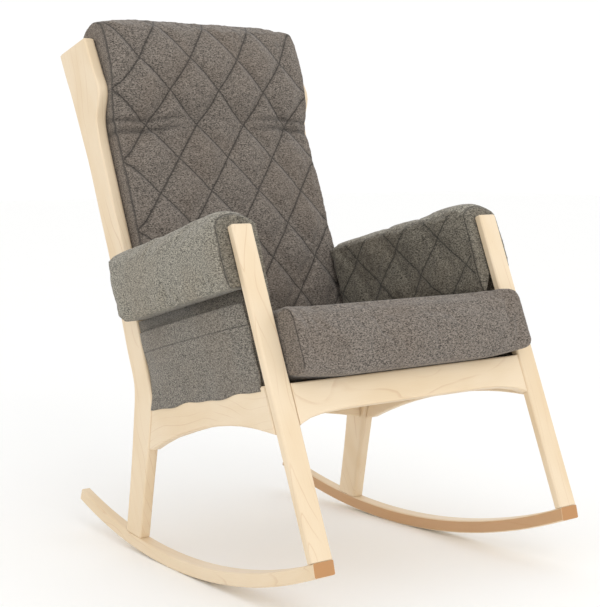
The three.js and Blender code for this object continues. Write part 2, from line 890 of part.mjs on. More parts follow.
// One section of the back cushion, with the notch that hooks over the top rail
function backSection(x) {
  const past = Math.max(0, Math.abs(x) - backSeam) / (backHalfWidth - backSeam);
  const draw = backEdgeDraw * past * past;
  const front = backFrontPoints(x, draw);
  const railTop = backTopT + backRailDepth / 2 + gap;
  const flapEnd = railTop - backFlapLength;
  const bottom = onBack(0, -gap);
  const fall = (bottom.y - seatLineZ(bottom.x) - gap) / Math.cos(lean - seatTilt);
  const outline = [
    ...front,
    onBack(-fall * Math.cos(seatTilt), -gap),
    onBack(railTop, -gap),
    onBack(railTop, backRailThick + gap),
    onBack(flapEnd, backRailThick + gap),
    onBack(flapEnd, backRailThick + gap + backFlapThick),
    ...backTopPoints(x, front[0], draw),
  ];
  return outline.map(point => new THREE.Vector3(x, point.x, point.y));
}

function backCushion() {
  const columns = fan(-backSeam, backSeam, quiltAcross * quiltSteps);
  const edge = lerp(backSeam, backHalfWidth, backEdgeShare);
  const outside = [-backHalfWidth, -edge];
  const stations = [...outside, ...columns, edge, backHalfWidth];
  const firstColumn = -quiltAcross * quiltSteps / 2 - outside.length;
  const firstRow = Math.floor(backQuiltDrop / quiltRow) + 1;
  return loft(stations.map(backSection), (i, j) => quiltRises(firstColumn + i, firstRow - j));
}

// Arm pads
function padTop(a) {
  const fall = Math.max(0, 1 - a / padFrontRun);
  return padHeight + padSwell * (1 - a / padLength) - padFrontDrop * fall * fall;
}

// A ring round the pad; aAt gives its place along the arm at each height
function padRing(aAt, stitched) {
  const edge = padTop(aAt(padHeight / 2)) - padCrown;
  const half = padWidth / 2;
  const flat = half - padRound;
  const top = fan(1, -1, padTopSteps).map(share => (
    [share * flat, edge + padCrown * (1 - share * share)]
  ));
  const nodeRow = padHeight - padCrown - padQuiltDrop;
  const rows = fan(nodeRow + quiltRow, nodeRow - (padQuiltRows - 1) * quiltRow, padQuiltRows);
  const inner = rows.map(b => {
    const level = 2 * b / edge - 1;
    const smooth = padBulge * (1 - level * level);
    const puff = stitched ? padPuff * quilt(aAt(b), b - nodeRow) : smooth;
    return [-half - puff, b];
  });
  const section = [
    [flat, 0],
    [half, padRound],
    [half + padBulge, edge / 2],
    [half, edge - padRound],
    ...top,
    ...inner,
    [-half, padRound],
    [-flat, 0],
  ];
  return section.map(([v, b]) => {
    const point = onArm(aAt(b), b);
    return new THREE.Vector3(sideOuter(point.x) - padInset + v, point.x, point.y);
  });
}

function armPad() {
  const first = Math.ceil((padHeight * padSlant + padRound) / quiltColumn);
  const last = Math.floor((padLength - padRound) / quiltColumn);
  const columns = fan(first, last, last - first);
  const rings = [
    padRing(b => b * padSlant, false),
    ...columns.map(column => padRing(() => column * quiltColumn, true)),
    padRing(b => padLength + b * padSlant, false),
  ];
  const rowStart = padOuterPoints + padTopSteps + 1;
  return loft(rings, (i, j) => (
    j >= rowStart && quiltRises(first + i - 1, 1 - (j - rowStart))
  ));
}

// Side panel: one taut sheet behind the pocket, from the pad down to the apron
const panelTopZ = y => {
  const b = -gap;
  const a = (y - padOrigin.x - b * Math.sin(armTilt)) / Math.cos(armTilt);
  return onArm(a, b).y;
};
const panelLowZ = y => seatLineZ(y) + gap;

// Y of the panel's front edge at height z
function panelFrontY(z) {
  const share = (z - frontRailTop) / (padFrontBottom - frontRailTop);
  return legRearY(z) + panelFrontSpace + panelFrontFlare * share;
}

// Where a steep edge y(z) meets a slanting line z(y)
function meeting(edge, line, start) {
  const point = new THREE.Vector2(0, start);
  for (let i = 0; i < settleSteps; i += 1) {
    point.x = edge(point.y);
    point.y = line(point.x);
  }
  return point;
}

const panelRearY = z => postFrontY(z) - gap;

function sidePanel() {
  const lowFront = meeting(panelFrontY, panelLowZ, frontRailTop);
  const highFront = meeting(panelFrontY, panelTopZ, padFrontBottom);
  const lowRear = meeting(panelRearY, panelLowZ, rearRailTop);
  const highRear = meeting(panelRearY, panelTopZ, padRearHeight);
  const rear = besidePost(lowRear.y, highRear.y);
  return board([lowFront, ...rear, highFront], panelThick, 0, (u, v, w) => (
    new THREE.Vector3(sideOuter(u) - panelInset - w, u, v)
  ));
}

// Pocket: a sheet bellied out from the panel, closed at its sides and foot
const pocketHemZ = y => panelTopZ(y) - pocketHem;

function pocketPoint(across, up) {
  const low = panelLowZ;
  const high = pocketHemZ;
  const line = y => lerp(low(y), high(y), up);
  const front = meeting(panelFrontY, line, padFrontBottom);
  const rear = meeting(panelRearY, line, rearRailTop);
  const y = lerp(front.x, rear.x - gap, across);
  return new THREE.Vector2(y, line(y));
}

function pocket() {
  const across = fan(0, 1, pocketColumns);
  return loft(fan(0, 1, pocketRows).map(up => {
    const sheet = out => across.map(share => {
      const point = pocketPoint(share, up);
      const side = 1 - (2 * share - 1) ** 4;
      const belly = pocketBulge * side * Math.sin(pocketSweep * up);
      const x = sideOuter(point.x) - panelInset + gap + belly + out;
      return new THREE.Vector3(x, point.x, point.y);
    });
    return [...sheet(pocketThick), ...sheet(0).reverse()];
  }), () => false, stripFaces);
}

// The chair
const frontBolt = frontBoltLine();
const rearBolt = rearBoltLine();
const rearRailHoles = boltHoles(rearBolt).flatMap(hole => [hole, mirrored(hole)]);

addPair('runner', runner(), maple);
addPair('front_leg', cut(frontLeg(), ...boltHoles(frontBolt)), maple);
addPair('rear_post', rearPost(), maple);
addPair('side_apron', apron(), maple);
addPair('arm_rail', armRail(0, 0), mapleInner);
add('front_rail', frontRail(), maple);
add('rear_rail', cut(rearRail(), ...rearRailHoles), maple);
add('back_lower_rail', backRail(0), maple);
add('back_top_rail', backRail(backTopT), maple);
for (let i = 0; i < backSlatCount; i += 1) {
  add(`back_slat_${i + 1}`, backSlat((i - (backSlatCount - 1) / 2) * backSlatSpacing), mapleInner);
}
addPair('seat_cleat', cleat(), mapleInner);
for (let i = 0; i < slatCount; i += 1) {
  const s = lerp(slatFrontSpace, deckLength - slatWidth, i / (slatCount - 1));
  add(`seat_slat_${i + 1}`, seatSlat(s), mapleInner);
}
addPair('front_block', cut(frontBlock(), ...boltHoles(frontBolt)), mapleInner);
addPair('rear_block', cut(rearBlock(), ...boltHoles(rearBolt)), mapleInner);
addPair('front_bolt', bolt(frontBolt), steel);
addPair('rear_bolt', bolt(rearBolt), steel);
add('seat_cushion', seatCushion(), clothFront);
add('back_cushion', backCushion(), clothFront);
addPair('arm_pad', cut(armPad(), armRail(gap, overrun)), clothSide);
addPair('side_panel', sidePanel(), clothSide);
addPair('pocket', pocket(), clothSide);

// Stand the chair on Z = 0 with the middle of its depth over Y = 0
const bounds = new THREE.Box3().setFromObject(chair, true);
chair.position.set(0, -bounds.getCenter(new THREE.Vector3()).y, -bounds.min.z);
chair.updateMatrixWorld(true);

export default chair;
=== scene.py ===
import math

import bmesh
import bpy
import numpy as np
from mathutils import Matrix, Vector


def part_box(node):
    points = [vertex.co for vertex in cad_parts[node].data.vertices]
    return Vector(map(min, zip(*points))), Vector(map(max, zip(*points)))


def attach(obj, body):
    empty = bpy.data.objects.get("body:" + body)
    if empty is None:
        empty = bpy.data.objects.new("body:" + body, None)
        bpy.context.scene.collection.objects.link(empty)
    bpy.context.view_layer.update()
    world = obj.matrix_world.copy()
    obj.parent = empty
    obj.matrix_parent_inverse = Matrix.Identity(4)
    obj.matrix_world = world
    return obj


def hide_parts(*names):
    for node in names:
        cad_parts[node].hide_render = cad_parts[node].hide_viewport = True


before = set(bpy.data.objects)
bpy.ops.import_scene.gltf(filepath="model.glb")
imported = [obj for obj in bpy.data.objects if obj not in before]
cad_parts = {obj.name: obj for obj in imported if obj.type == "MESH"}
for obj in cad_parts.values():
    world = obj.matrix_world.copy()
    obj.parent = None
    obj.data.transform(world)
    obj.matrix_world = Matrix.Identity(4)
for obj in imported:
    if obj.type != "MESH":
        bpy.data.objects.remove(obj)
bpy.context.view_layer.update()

bl_info = {
    "name": "Rocking chair",
    "version": (1, 0, 0),
    "blender": (4, 5, 0),
    "location": "3D View > Sidebar > Rocking chair",
    "description": "Builds the rocking chair's wood, cushions and studio",
    "category": "Add Mesh",
}

# Angles and lengths of the CAD model, in radians and metres; origins and seams are (y, z)
LEAN = math.radians(22.25)
SEAT_TILT = math.radians(13)
ARM_TILT = 0.240855
ROCKER_RADIUS = 1.197
ROCKER_Y = 0.0114
RUNNER_X = 0.27
ARM_ORIGIN = (-0.25411, 0.55389)
SEAT_ORIGIN = (-0.33680, 0.39739)
SEAT_TOP = 0.127
BACK_SEAM_HALF = 0.2375
BACK_HALF = 0.24
POST_INNER = 0.261
POST_DRAW = 0.019
POST_LEAN = (0.2919, 0.6099)
BACK_SEAM = (
    (0.07891, 0.30171), (0.11524, 0.39993), (0.15157, 0.49992), (0.19519, 0.61984),
    (0.25277, 0.74988), (0.28779, 0.83985), (0.29123, 0.89986), (0.30317, 0.95987),
    (0.33818, 1.03486),
)
ALONG_LEAN = (0, math.sin(LEAN), math.cos(LEAN))
ALONG_SEAT = (0, math.cos(SEAT_TILT), -math.sin(SEAT_TILT))
ALONG_ARM = (0, math.cos(ARM_TILT), -math.sin(ARM_TILT))
ALONG_POST = (0, 0.34, 0.94)
ALONG_WIDTH = (1, 0, 0)
SIDES = (("l", -1), ("r", 1))
PANEL_CORNER = (-0.30859, 0.39117)
PANEL_TOP = 0.56696
POCKET_DROP = 0.0245
POCKET_HEM = 0.040

# How far the soft pieces are shaped beyond their solids, in metres
SEAT_CORNER_OUT = 0.0085
SEAT_CORNER_LIFT = 0.007
SEAT_END_LIFT = 0.003
SEAT_FOOT_LIFT = 0.010
TOP_ROW_GATHER = 0.011
SEWN_PULL = 0.0032
CREASE_PULL = 0.0055
TOP_END_FILL = 0.014
NECK_SPREAD = 0.005
NECK_DRAW = 0.004
REAR_FILL = 0.011
PAD_OUTER_NARROW = 0.015
PAD_INNER_NARROW = 0.012
PAD_REACH = 0.021
PAD_LIFT = 0.007
POCKET_FLARE = 0.0062
POCKET_SAG = 0.0022
POCKET_HANG = 0.009

# How near to a front or a stitched line a point counts as on it
FACE_MARGIN = 0.012
SEWN_REACH = 0.008
NO_SEAM = 1.0

# Half the width of the arm pads' tunnel, and the slope of their front ends
PAD_TUNNEL_HALF = 0.036
PAD_FRONT_SLOPE = 0.1486

# The camera, fitted to the photo, in pixels, metres, degrees and millimetres
PICTURE = (600, 607)
FOCAL_PIXELS = 1425.74
OPTICAL_CENTRE = (299.74, 292.41)
CAMERA_PLACE = (-1.7301, -2.2079, 0.7779)
CAMERA_DOWN = 5.51
CAMERA_TURN = 38.21
SENSOR = 36

# How the cloth of the pads' inner faces differs from their outer one
INNER_TINT = (0.66, 0.64, 0.62, 1)


def linear(red, green, blue):
    """A colour given in screen values from 0 to 255, as the shader takes it."""
    def one(value):
        share = value / 255
        return share / 12.92 if share <= 0.04045 else ((share + 0.055) / 1.055) ** 2.4
    return (one(red), one(green), one(blue), 1.0)


# Shader wiring
class Wire:
    """A value in a finish's node tree; maths on it adds the nodes it needs."""

    def __init__(self, finish, socket):
        self.finish = finish
        self.socket = socket

    def math(self, operation, *others):
        inputs = dict(enumerate((self, *others)))
        return self.finish.node("ShaderNodeMath", {"operation": operation}, inputs)

    def __add__(self, other):
        return self.math("ADD", other)

    def __sub__(self, other):
        return self.math("SUBTRACT", other)

    def __mul__(self, other):
        return self.math("MULTIPLY", other)

    def __truediv__(self, other):
        return self.math("DIVIDE", other)

    def __rsub__(self, other):
        inputs = {0: other, 1: self}
        return self.finish.node("ShaderNodeMath", {"operation": "SUBTRACT"}, inputs)

    def __neg__(self):
        return self * -1

    __radd__ = __add__

    def rise(self, low, high):
        """0 below low and 1 above high, with a smooth rise between."""
        settings = {"interpolation_type": "SMOOTHSTEP"}
        inputs = {"Value": self, "From Min": low, "From Max": high}
        return self.finish.node("ShaderNodeMapRange", settings, inputs)


class Finish:
    """A material whose node tree is written as expressions."""

    def __init__(self, name):
        self.material = bpy.data.materials.new(name)
        self.material.use_nodes = True
        self.tree = self.material.node_tree
        self.tree.nodes.clear()

    def node(self, kind, settings=None, inputs=None, output=0):
        made = self.tree.nodes.new(kind)
        for key, value in (settings or {}).items():
            setattr(made, key, value)
        for key, value in (inputs or {}).items():
            if isinstance(value, Wire):
                self.tree.links.new(value.socket, made.inputs[key])
            else:
                made.inputs[key].default_value = value
        return Wire(self, made.outputs[output])

    def place(self):
        return self.node("ShaderNodeTexCoord", output="Object")

    def dot(self, vector, axis):
        settings = {"operation": "DOT_PRODUCT"}
        return self.node("ShaderNodeVectorMath", settings, {0: vector, 1: axis}, "Value")

    def vector(self, x, y, z):
        return self.node("ShaderNodeCombineXYZ", None, {0: x, 1: y, 2: z})

    def noise(self, vector, scale, detail=2.0, roughness=0.5):
        inputs = {"Vector": vector, "Scale": scale, "Detail": detail, "Roughness": roughness}
        return self.node("ShaderNodeTexNoise", None, inputs)

    def attribute(self, name):
        return self.node("ShaderNodeAttribute", {"attribute_name": name}, None, "Fac")

    def mix(self, share, first, second):
        return self.node("ShaderNodeMix", {"data_type": "RGBA"}, {0: share, 6: first, 7: second}, 2)

    def bump(self, height, distance, strength):
        inputs = {"Height": height, "Distance": distance, "Strength": strength}
        return self.node("ShaderNodeBump", None, inputs)

    def surface(self, **inputs):
        named = {key.replace("_", " "): value for key, value in inputs.items()}
        shader = self.node("ShaderNodeBsdfPrincipled", None, named)
        output = self.tree.nodes.new("ShaderNodeOutputMaterial")
        self.tree.links.new(shader.socket, output.inputs["Surface"])
        return self.material


def maple_surface(finish, along, across, depth, settings, shade=None):
    """Pale maple: fine growth lines that arch along the board, fibre and a few flecks."""

    def grain(length, breadth, detail=2.0, roughness=0.5):
        """Noise with so many speckles per metre along the board and across it."""
        stretched = finish.vector(along * length, across * breadth, depth * breadth)
        return finish.noise(stretched, 1.0, detail, roughness)

    sway = grain(2.6, 3.0)
    ripple = grain(9.0, 22.0, 3.0)
    sideways = across + (sway - 0.5) * 0.05
    deep = depth + 0.03 + (sway - 0.5) * 0.11
    distance = (sideways * sideways + deep * deep).math("SQRT")
    ring = (distance / settings.ring_spacing + (ripple - 0.5) * 0.5).math("FRACT")
    line = ring.rise(0.84, 0.95) * (1 - ring.rise(0.952, 0.985))
    line = line * grain(7.0, 30.0).rise(0.36, 0.66)
    fibre = grain(26.0, 900.0, 3.0, 0.6)
    cloud = grain(5.0, 14.0)
    fleck = grain(45.0, 300.0, 1.0).rise(0.76, 0.84)
    pale = linear(*settings.pale)
    warm = linear(*settings.warm)
    vein = linear(*settings.vein)
    colour = finish.mix(cloud.rise(0.35, 0.7) * 0.6 + (fibre - 0.5) * 0.5, pale, warm)
    colour = finish.mix(line * settings.line_strength, colour, vein)
    colour = finish.mix(fleck * 0.35, colour, vein)
    # The end grain's own colour, also laid as painted shade where the caller's mask covers a shaded
    # side
    if shade is not None:
        colour = finish.mix(shade, colour, linear(*settings.end_grain_and_shade))
    relief = finish.bump(fibre + line * 0.6, 0.00012, 0.5)
    rough = 0.42 + (fibre - 0.5) * 0.12 + line * 0.05
    return finish.surface(
        Base_Color=colour, Roughness=rough, Normal=relief, Specular_IOR_Level=0.42,
        Coat_Weight=0.12, Coat_Roughness=0.3,
    )


def straight_maple(name, along, seed, settings):
    """Maple with straight grain along one direction of the chair."""
    finish = Finish(name)
    place = finish.place()
    direction = Vector(along).normalized()
    wide = Vector((1, 0, 0)) if abs(direction.x) < 0.5 else Vector((0, 0, 1))
    deep = direction.cross(wide).normalized()
    along_grain = finish.dot(place, tuple(direction)) + seed * 1.37
    across = finish.dot(place, tuple(deep)) + seed * 0.011
    depth = finish.dot(place, tuple(wide)) * 0.8
    return maple_surface(finish, along_grain, across, depth, settings)


def runner_maple(name, side, settings):
    """Maple bent round the runner's arc, browner at its end grain, with painted shade on its inner
    side.
    """
    finish = Finish(name)
    place = finish.place()
    y = finish.dot(place, (0, 1, 0)) - ROCKER_Y
    z = ROCKER_RADIUS - finish.dot(place, (0, 0, 1))
    x = finish.dot(place, (1, 0, 0)) * side
    along = y.math("ARCTAN2", z) * ROCKER_RADIUS
    across = (y * y + z * z).math("SQRT") - ROCKER_RADIUS
    facing = finish.node("ShaderNodeNewGeometry", output="Normal")
    forward = -finish.dot(facing, (0, 1, 0))
    end = forward.rise(0.8, 0.9)
    # Painted shade: the inner side, facing the other runner, takes the darker end grain colour
    inner = (-finish.dot(facing, (1, 0, 0)) * side).rise(0.8, 0.92) * 0.75
    shade = end.math("MAXIMUM", inner)
    return maple_surface(finish, along, across, x - RUNNER_X, settings, shade)


def shaded(base, share):
    """A screen colour made darker or lighter by a share, as the shader takes it."""
    return linear(*(min(255, value * share) for value in base))


def wool_cloth(name, base, settings, quilted, two_cloths=False, seam_strength=0.68):
    """Heathered wool-like weave with sewn seams, and quilted lines with painted shade beside them
    where asked.
    """
    finish = Finish(name)
    place = finish.place()
    x, y, z = (finish.dot(place, axis) for axis in ((1, 0, 0), (0, 1, 0), (0, 0, 1)))
    scale = settings.thread_scale
    thread = finish.noise(finish.vector(x * 0.6, y * 0.6, z * 1.3), scale, 2.0, 0.6)
    slub = finish.noise(finish.vector(x * 0.6, y * 0.6, z * 1.15), scale * 0.62, 2.0, 0.55)
    drift = finish.noise(place, 9.0, 2.0)
    hair = finish.noise(place, scale * 2.2, 1.0)
    warm = linear(base[0] * 1.1, base[1] * 1.0, base[2] * 0.9)
    heather = thread.rise(0.38, 0.62) * 0.52 + slub.rise(0.38, 0.62) * 0.48
    colour = finish.mix(heather, shaded(base, 0.5), shaded(base, 1.5))
    colour = finish.mix(drift.rise(0.4, 0.65) * 0.16, colour, warm)
    line = 1 - finish.attribute("seam_gap").math("ABSOLUTE").rise(0.0006, 0.0021)
    if quilted:
        inside = finish.attribute("quilted").rise(0.4, 0.6)
        rising, falling = (
            (0.5 - (finish.attribute(family) + 0.5).math("PINGPONG", 0.5)) * settings.quilt_spacing
            for family in ("rising", "falling"))
        near = rising.math("MINIMUM", falling)
        line = line.math("MAXIMUM", (1 - near.rise(0.0005, 0.0024)) * inside)
        # Painted shade: a soft darker band beside each quilted line, and in the neck's folds
        valley_shade = (1 - near.rise(0.0005, 0.0085)) * inside
        valley_shade = (valley_shade * 0.24).math("MAXIMUM", finish.attribute("crease") * 0.62)
        colour = finish.mix(valley_shade, colour, shaded(base, 0.45))
    if two_cloths:
        inner = finish.attribute("inner_cloth").rise(0.3, 0.7)
        multiply = {"data_type": "RGBA", "blend_type": "MULTIPLY"}
        colour = finish.node("ShaderNodeMix", multiply, {0: inner, 6: colour, 7: INNER_TINT}, 2)
    colour = finish.mix(line * seam_strength, colour, shaded(base, 0.42))
    weave = thread * 0.7 + hair * 0.5 - line * 1.4
    relief = finish.bump(weave, 0.0006, 0.55)
    return finish.surface(
        Base_Color=colour, Roughness=0.94 - hair * 0.08, Normal=relief,
        Specular_IOR_Level=0.25, Sheen_Weight=0.22, Sheen_Roughness=0.5,
        Sheen_Tint=(0.8, 0.78, 0.75, 1.0),
    )


def plain_steel(name):
    """Plated steel, scuffed."""
    finish = Finish(name)
    scuff = finish.noise(finish.place(), 260.0, 3.0)
    colour = finish.mix(scuff, linear(120, 119, 117), linear(165, 163, 160))
    return finish.surface(
        Base_Color=colour, Metallic=1.0, Roughness=0.34 + scuff * 0.15,
        Normal=finish.bump(scuff, 0.0002, 0.4),
    )


# Meshes
SAME_PLACE = 0.00001
FLAT_ANGLE = math.radians(0.4)
SHARP_ANGLE = math.radians(38)
SMOOTH_ANGLE = math.radians(36)
SHORT_EDGE = 0.0045
POINTS_AT_ONCE = 4000


def merged_copy(node, name):
    """A merged copy of a CAD node's mesh as a new object that stands for it."""
    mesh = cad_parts[node].data.copy()
    mesh.materials.clear()
    mesh.name = name
    made = bpy.data.objects.new(name, mesh)
    bpy.context.scene.collection.objects.link(made)
    shape = bmesh.new()
    shape.from_mesh(mesh)
    bmesh.ops.remove_doubles(shape, verts=shape.verts, dist=SAME_PLACE)
    shape.to_mesh(mesh)
    shape.free()
    for attribute in ("custom_normal", "UVMap"):
        layer = mesh.attributes.get(attribute)
        if layer is not None:
            mesh.attributes.remove(layer)
    return made


def ease_edges(made, radius, segments):
    """Rounds the piece's sharp edges and shades its curved faces smooth."""
    shape = bmesh.new()
    shape.from_mesh(made.data)
    bmesh.ops.dissolve_limit(
        shape, angle_limit=FLAT_ANGLE, verts=shape.verts, edges=shape.edges)
    sharp = [
        edge for edge in shape.edges
        if len(edge.link_faces) == 2 and edge.calc_length() > SHORT_EDGE
        and edge.calc_face_angle(0) > SHARP_ANGLE
    ]
    bmesh.ops.bevel(
        shape, geom=sharp, offset=radius, offset_type="OFFSET", segments=segments,
        profile=0.5, affect="EDGES", material=-1, clamp_overlap=True)
    for face in shape.faces:
        face.smooth = True
    for edge in shape.edges:
        edge.smooth = len(edge.link_faces) == 2 and edge.calc_face_angle(0) < SMOOTH_ANGLE
    shape.to_mesh(made.data)
    shape.free()
    weighted = made.modifiers.new("Flat faces", "WEIGHTED_NORMAL")
    weighted.keep_sharp = True


def wood_piece(node, material, radius, segments=3, slot="maple"):
    made = merged_copy(node, node + "_wood")
    ease_edges(made, radius, segments)
    made.data.materials.append(material)
    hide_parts(node)
    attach(made, "frame")


def points_of(mesh):
    """A mesh's points as rows of x, y and z."""
    flat = np.zeros(len(mesh.vertices) * 3)
    mesh.vertices.foreach_get("co", flat)
    return flat.reshape(-1, 3)


def put_points(mesh, points):
    mesh.vertices.foreach_set("co", points.astype(np.float32).ravel())
    mesh.update()


def put_attributes(mesh, **named):
    """Writes one value for each point under each name, for the materials."""
    for name, values in named.items():
        layer = mesh.attributes.get(name) or mesh.attributes.new(name, "FLOAT", "POINT")
        layer.data.foreach_set("value", np.asarray(values, np.float32))


def apply_modifiers(made):
    """Keeps the mesh that the modifiers give, and drops them."""
    graph = bpy.context.evaluated_depsgraph_get()
    mesh = bpy.data.meshes.new_from_object(made.evaluated_get(graph))
    old = made.data
    made.modifiers.clear()
    made.data = mesh
    bpy.data.meshes.remove(old)


def remesh(made, voxel):
    step = made.modifiers.new("Remesh", "REMESH")
    step.mode = "VOXEL"
    step.voxel_size = voxel
    step.use_smooth_shade = True
    apply_modifiers(made)


def smoothed(made, rounds):
    step = made.modifiers.new("Soften", "SMOOTH")
    step.iterations = rounds
    step.factor = 0.5
    apply_modifiers(made)


def soft_blank(node, voxel, rounds):
    """A padded CAD solid as an even, softened mesh, and its points."""
    made = merged_copy(node, node + "_cloth")
    remesh(made, voxel)
    smoothed(made, rounds)
    return made, points_of(made.data)


def inflate(made, hold, settings, cap):
    """Fills a padded piece by cloth simulation; hold is 1 where it is sewn or rests."""
    rest = points_of(made.data)
    group = made.vertex_groups.new(name="held")
    for share in np.unique(np.round(hold, 1)):
        chosen = np.nonzero(np.round(hold, 1) == share)[0].tolist()
        group.add(chosen, float(share), "REPLACE")
    cloth = made.modifiers.new("Fill", "CLOTH")
    work = cloth.settings
    work.quality = 4
    work.mass = 0.3
    work.use_pressure = True
    work.uniform_pressure_force = settings.pressure
    work.tension_stiffness = 12
    work.compression_stiffness = 12
    work.bending_stiffness = 0.6
    work.shrink_min = -settings.ease
    work.vertex_group_mass = "held"
    work.effector_weights.gravity = 0
    cloth.collision_settings.use_collision = False
    cloth.collision_settings.use_self_collision = False
    cloth.point_cache.frame_start = 1
    cloth.point_cache.frame_end = settings.frames
    scene = bpy.context.scene
    for step in range(1, settings.frames + 1):
        scene.frame_set(step)
    graph = bpy.context.evaluated_depsgraph_get()
    full = points_of(made.evaluated_get(graph).data)
    made.modifiers.remove(cloth)
    made.vertex_groups.clear()
    moved = full - rest
    length = np.linalg.norm(moved, axis=1)
    share = np.minimum(1, cap / np.maximum(length, 1e-9))
    put_points(made.data, rest + moved * share[:, None])
    scene.frame_set(1)


def dress(made, material):
    """Gives a soft piece its material and shades it smooth."""
    made.data.materials.clear()
    made.data.materials.append(material)
    for face in made.data.polygons:
        face.use_smooth = True


def finish_cloth(made, node, body, material):
    """Dresses a padded piece and says what it is."""
    dress(made, material)
    step = made.modifiers.new("Smooth surface", "SUBSURF")
    step.levels = 1
    step.render_levels = 1
    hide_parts(node)
    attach(made, body)


def ramp(values, start, width):
    """0 up to start, 1 from width beyond it, and even between."""
    return np.clip((values - start) / width, 0, 1)


def fall(values, start, width):
    """1 up to start, 0 from width beyond it, and even between."""
    return np.clip(1 - (values - start) / width, 0, 1)


def eased(share):
    """A share from 0 to 1 with its start and end made gentle."""
    return share * share * (3 - 2 * share)


def hump(values, middle, width):
    """1 at middle, falling away on both sides as a bell does."""
    return np.exp(-((values - middle) / width) ** 2)


def on_slope(points, origin, tilt):
    """Each point's way back along a slope from its origin, and its height square to it."""
    y = points[:, 1] - origin[0]
    z = points[:, 2] - origin[1]
    return y * math.cos(tilt) - z * math.sin(tilt), y * math.sin(tilt) + z * math.cos(tilt)


def shift_on_slope(points, tilt, along, up):
    """Moves points back along a slope and square to it."""
    points[:, 1] += along * math.cos(tilt) + up * math.sin(tilt)
    points[:, 2] += up * math.cos(tilt) - along * math.sin(tilt)


def near_whole(values):
    """Distance of each value from the nearest whole number."""
    return np.abs(values - np.round(values))


def catmull(points, steps):
    """A smooth line through points, each stretch cut into steps."""
    ends = [points[0], *points, points[-1]]
    line = []
    for first, second, third, fourth in zip(ends, ends[1:], ends[2:], ends[3:]):
        for share in np.linspace(0, 1, steps, endpoint=False):
            a = -first + 3 * second - 3 * third + fourth
            b = 2 * first - 5 * second + 4 * third - fourth
            c = third - first
            line.append(0.5 * (a * share ** 3 + b * share ** 2 + c * share) + second)
    line.append(points[-1])
    return np.array(line)


def back_place(points):
    """For each point, its way down the back from the top seam, and its place in front."""
    line = catmull([np.array(point) for point in BACK_SEAM], 24)
    steps = np.linalg.norm(np.diff(line, axis=0), axis=1)
    length = np.concatenate(([0], np.cumsum(steps)))
    down = np.zeros(len(points))
    front = np.zeros(len(points))
    tangent = np.gradient(line, axis=0)
    tangent /= np.linalg.norm(tangent, axis=1)[:, None]
    for start in range(0, len(points), POINTS_AT_ONCE):
        here = slice(start, start + POINTS_AT_ONCE)
        part = points[here, 1:]
        gap = part[:, None, :] - line[None, :, :]
        nearest = np.argmin((gap ** 2).sum(2), axis=1)
        offset = gap[np.arange(len(part)), nearest]
        along = tangent[nearest]
        down[here] = length[-1] - length[nearest] - (offset * along).sum(1)
        front[here] = -offset[:, 0] * along[:, 1] + offset[:, 1] * along[:, 0]
    return down, front


# Sizes and colours that a user would change
class WoodSettings(bpy.types.PropertyGroup):
    edge_radius: bpy.props.FloatProperty(
        name="Eased edge", description="Rounding of the frame's edges",
        default=0.0024, min=0.0002, max=0.006, unit="LENGTH")
    small_edge_radius: bpy.props.FloatProperty(
        name="Eased slat edge", description="Rounding of the slats' and cleats' edges",
        default=0.0012, min=0.0002, max=0.004, unit="LENGTH")
    ring_spacing: bpy.props.FloatProperty(
        name="Growth rings", description="Distance between growth rings",
        default=0.0088, min=0.002, max=0.03, unit="LENGTH")
    line_strength: bpy.props.FloatProperty(
        name="Line strength", description="How dark the growth lines are",
        default=0.3, min=0, max=1, subtype="FACTOR")
    pale: bpy.props.FloatVectorProperty(
        name="Pale wood", description="Palest wood, in screen values",
        default=(233, 213, 183), min=0, max=255)
    warm: bpy.props.FloatVectorProperty(
        name="Warm wood", description="Warmer wood, in screen values",
        default=(222, 196, 157), min=0, max=255)
    vein: bpy.props.FloatVectorProperty(
        name="Growth line", description="Growth lines and flecks, in screen values",
        default=(188, 142, 98), min=0, max=255)
    # The end grain's own colour, also used as painted shade on the runners' inner sides
    end_grain_and_shade: bpy.props.FloatVectorProperty(
        name="End grain", description="End grain and inner runner sides, in screen values",
        default=(186, 136, 87), min=0, max=255)


class ClothSettings(bpy.types.PropertyGroup):
    front_colour: bpy.props.FloatVectorProperty(
        name="Cushion cloth", description="Seat and back cloth, in screen values",
        default=(99, 92, 85), min=0, max=255)
    side_colour: bpy.props.FloatVectorProperty(
        name="Side cloth", description="Arm and pocket cloth, in screen values",
        default=(118, 114, 104), min=0, max=255)
    # The side cloth made darker as painted shade, for the side panels and pockets under the arm
    # pads
    shaded_pocket_colour: bpy.props.FloatVectorProperty(
        name="Pocket cloth", description="Side panel and pocket cloth, in screen values",
        default=(104, 99, 91), min=0, max=255)
    thread_scale: bpy.props.FloatProperty(
        name="Thread scale", description="Speckles per metre of the heathered weave",
        default=620, min=50, max=2000)
    quilt_spacing: bpy.props.FloatProperty(
        name="Quilting spacing", description="Distance between parallel stitched lines",
        default=0.093, min=0.02, max=0.3, unit="LENGTH")
    quilt_width: bpy.props.FloatProperty(
        name="Diamond width", description="Width of a quilted diamond",
        default=0.11875, min=0.02, max=0.3, unit="LENGTH")
    quilt_height: bpy.props.FloatProperty(
        name="Diamond height", description="Height of a quilted diamond",
        default=0.1495, min=0.02, max=0.3, unit="LENGTH")
    quilt_drop: bpy.props.FloatProperty(
        name="Diamond drop", description="First crossing's distance below the top seam",
        default=0.133, min=0, max=0.3, unit="LENGTH")
    pressure: bpy.props.FloatProperty(
        name="Filling", description="Pressure that fills the padded pieces",
        default=3.2, min=0, max=20)
    ease: bpy.props.FloatProperty(
        name="Ease", description="Share by which the cover is cut larger than its filling",
        default=0.025, min=0, max=0.2, subtype="FACTOR")
    frames: bpy.props.IntProperty(
        name="Filling steps", description="Steps of the filling simulation",
        default=18, min=2, max=60)


